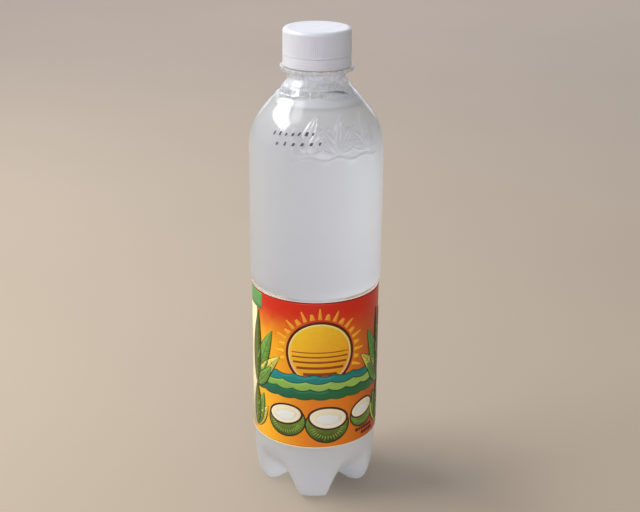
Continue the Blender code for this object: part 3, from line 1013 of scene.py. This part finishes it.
def moulded_cap(name="hdpe_cap_white"):
    """HDPE, injection moulded: white, satin and slightly translucent, with a fine skin."""
    material, tree, coords = new_material(name)
    skin = add(tree, "ShaderNodeTexNoise", {"Vector": (coords, "Object"), "Scale": per(0.7)})
    bump = add(tree, "ShaderNodeBump", {
        "Height": (skin, 0), "Strength": 0.3, "Distance": 0.03 * MM})
    worn = add(tree, "ShaderNodeMapRange", {"Value": (skin, 0), "To Min": 0.32, "To Max": 0.46})
    white = add(tree, "ShaderNodeBsdfPrincipled", {
        "Base Color": linear("#D9DBDF"), "Roughness": (worn, 0), "IOR": 1.54,
        "Subsurface Weight": 0.35, "Subsurface Radius": (1.0, 1.0, 1.0),
        "Subsurface Scale": 1.6 * MM, "Normal": (bump, 0)})
    add(tree, "ShaderNodeOutputMaterial", {"Surface": (white, 0)})
    return material


def let_through(tree, shader, colour):
    """Finish a thin surface's material: it shows its shader, and lets lamp light and scattered
    light pass on to what lies behind, tinted by a colour."""
    path = add(tree, "ShaderNodeLightPath")
    passing = add(tree, "ShaderNodeMath", {
        0: (path, "Is Shadow Ray"), 1: (path, "Is Diffuse Ray")}, operation="MAXIMUM")
    through = add(tree, "ShaderNodeBsdfTransparent", {"Color": colour})
    mixed = add(tree, "ShaderNodeMixShader", {0: (passing, 0), 1: (shader, 0), 2: (through, 0)})
    add(tree, "ShaderNodeOutputMaterial", {"Surface": (mixed, 0)})


def film_finish(tree, coords, colour):
    """Polypropylene film with reverse print: smooth, with a soft gloss and a trace of grain.
    Some light passes it, so the drink behind it isn't dark."""
    grain = add(tree, "ShaderNodeTexNoise", {"Vector": (coords, "Object"), "Scale": per(0.9)})
    rough = add(tree, "ShaderNodeMapRange", {"Value": (grain, 0), "To Min": 0.26, "To Max": 0.38})
    bump = add(tree, "ShaderNodeBump", {
        "Height": (grain, 0), "Strength": 0.12, "Distance": 0.02 * MM})
    film = add(tree, "ShaderNodeBsdfPrincipled", {
        "Base Color": colour, "Roughness": (rough, 0), "IOR": 1.49, "Specular IOR Level": 0.32,
        "Normal": (bump, 0)})
    let_through(tree, film, (0.88, 0.85, 0.82, 1.0))


def film_ink(name, first, second, start=(0, 0), end=(0, LABEL_H)):
    """Printed ink whose colour runs from one tone to another along a line on the label."""
    material, tree, coords = new_material("film_ink_" + name)
    way = Vector((end[0] - start[0], end[1] - start[1])) / 100
    from_start = add(tree, "ShaderNodeVectorMath", {
        0: (coords, "UV"), 1: (start[0] / 100, start[1] / 100, 0)}, operation="SUBTRACT")
    share = add(tree, "ShaderNodeVectorMath", {
        0: (from_start, 0), 1: (way.x / way.length_squared, way.y / way.length_squared, 0)},
        operation="DOT_PRODUCT")
    mottle = add(tree, "ShaderNodeTexNoise", {"Vector": (coords, "Object"), "Scale": per(2.2)})
    uneven = add(tree, "ShaderNodeMath", {
        0: (mottle, 0), 1: 0.3, 2: (share, "Value")}, operation="MULTIPLY_ADD")
    held = add(tree, "ShaderNodeMapRange", {
        "Value": (uneven, 0), "From Min": 0.15, "From Max": 1.15})
    colour = add(tree, "ShaderNodeMix", {
        0: (held, 0), 6: linear(first), 7: linear(second)}, data_type="RGBA")
    film_finish(tree, coords, (colour, 2))
    return material


def label_print():
    """Background print: orange, going yellow to the left, burnt orange to the right and red
    towards the top. The fall from yellow at the left to burnt orange at the right is partly print
    and partly painted light and shade, lighter towards the window lamp and darker away from it."""
    material, tree, coords = new_material("film_print_background")
    place = add(tree, "ShaderNodeSeparateXYZ", {0: (coords, "UV")})
    mottle = add(tree, "ShaderNodeTexNoise", {"Vector": (coords, "Object"), "Scale": per(5)})
    loose = add(tree, "ShaderNodeMath", {
        0: (mottle, 0), 1: 0.05, 2: (place, "Y")}, operation="MULTIPLY_ADD")
    colour = linear(ORANGE)
    # Yellow to the left and burnt orange to the right: print, and partly painted light and shade
    for value, start, end, ink in (((place, "X"), 0.08, 0.42, BURNT),
                                   ((place, "X"), 0.02, -0.30, YELLOW),
                                   ((loose, 0), 0.52, 0.72, RED)):
        share = add(tree, "ShaderNodeMapRange", {
            "Value": value, "From Min": start, "From Max": end}, interpolation_type="SMOOTHSTEP")
        mixed = add(tree, "ShaderNodeMix", {
            0: (share, 0), 6: colour, 7: linear(ink)}, data_type="RGBA")
        colour = (mixed, 2)
    film_finish(tree, coords, colour)
    return material


def film_edge_and_highlight():
    """Cut edge of the film, unprinted and milky; its pale cream is also a painted highlight of the
    bright line along the label's upper edge.
    """
    material, tree, coords = new_material("film_cut_edge_and_highlight")
    film_finish(tree, coords, linear("#F3E3CC"))
    return material


def coding_ink():
    """Solvent ink of a date printer: dark, with a slight gloss and uneven in tone."""
    return plain_finish("coding_ink_dark", 1.1, "#34343E", "#6A6A78", 0.4)


def pale_floor():
    """Plain painted board, pale and matt."""
    return plain_finish("pale_painted_board", 180, "#B8A892", "#BEAE98", 0.6)


def make_floor():
    reach = np.linspace(-3, 3, 7)
    x, y = np.meshgrid(reach, reach)
    floor = piece("floor", [np.stack([x, y, np.zeros_like(x)], -1)], pale_floor())


def make_lights():
    """A window-like softbox at the left with a small weak one beside it, a weak one overhead,
    wide ones behind the camera and behind the bottle, and a pale sky."""
    aim = Vector((0, 0, 120 * MM))
    plain_tint, cool_tint = (1.0, 0.99, 1.0), (0.97, 0.965, 1.16)
    for name, place, size, power, tint in (
            ("window", (-0.756, 0.10, 0.83), (0.90, 0.30), 10.6, plain_tint),
            ("window_side", (-0.56, -0.27, 1.09), (0.32, 0.26), 0.95, plain_tint),
            ("overhead", (0.1, 0.1, 1.5), (0.5, 0.5), 0.1, (1.0, 1.0, 1.0)),
            ("front", (-0.05, -1.6, 0.3), (1.8, 0.8), 9.9, cool_tint),
            ("back", (0.0, 1.6, 0.6), (1.8, 1.0), 5.7, cool_tint)):
        lamp = bpy.data.lights.new(name, "AREA")
        lamp.shape = "RECTANGLE"
        lamp.size, lamp.size_y = size
        lamp.energy = power
        lamp.color = tint
        obj = bpy.data.objects.new(name, lamp)
        obj.location = place
        obj.rotation_euler = (aim - Vector(place)).to_track_quat("-Z", "Y").to_euler()
        bpy.context.scene.collection.objects.link(obj)
    world = bpy.data.worlds.new("pale_sky")
    world.use_nodes = True
    world.node_tree.nodes.clear()
    sky = add(world.node_tree, "ShaderNodeBackground", {
        "Color": (0.95, 0.96, 0.98, 1.0), "Strength": 0.35})
    add(world.node_tree, "ShaderNodeOutputWorld", {"Surface": (sky, 0)})
    bpy.context.scene.world = world


def make_camera():
    """Camera of the photograph: 0.56 m in front, 0.33 m up, looking down by 20.9 degrees."""
    data = bpy.data.cameras.new("photo_camera")
    data.sensor_width = 36.0
    data.lens = 72.08
    data.clip_start = 0.02
    camera = bpy.data.objects.new("photo_camera", data)
    place = Matrix.Translation((2.03 * MM, -559.37 * MM, 329.55 * MM))
    tilt = Matrix.Rotation(math.radians(90 - 20.92), 4, "X")
    roll = Matrix.Rotation(math.radians(0.45), 4, "Z")
    camera.matrix_world = place @ tilt @ roll
    bpy.context.scene.collection.objects.link(camera)
    bpy.context.scene.camera = camera


for make in (make_camera, make_lights, make_floor, make_bottle, make_drink, make_cap,
             make_tamper_band, make_code, make_drops, make_wall_film, make_painted_shade_line, make_film,
             make_borders, make_side_panel, make_sun, make_waves, make_coconuts, make_leaves,
             make_small_marks):
    make()
bpy.context.scene.view_settings.view_transform = "Standard"
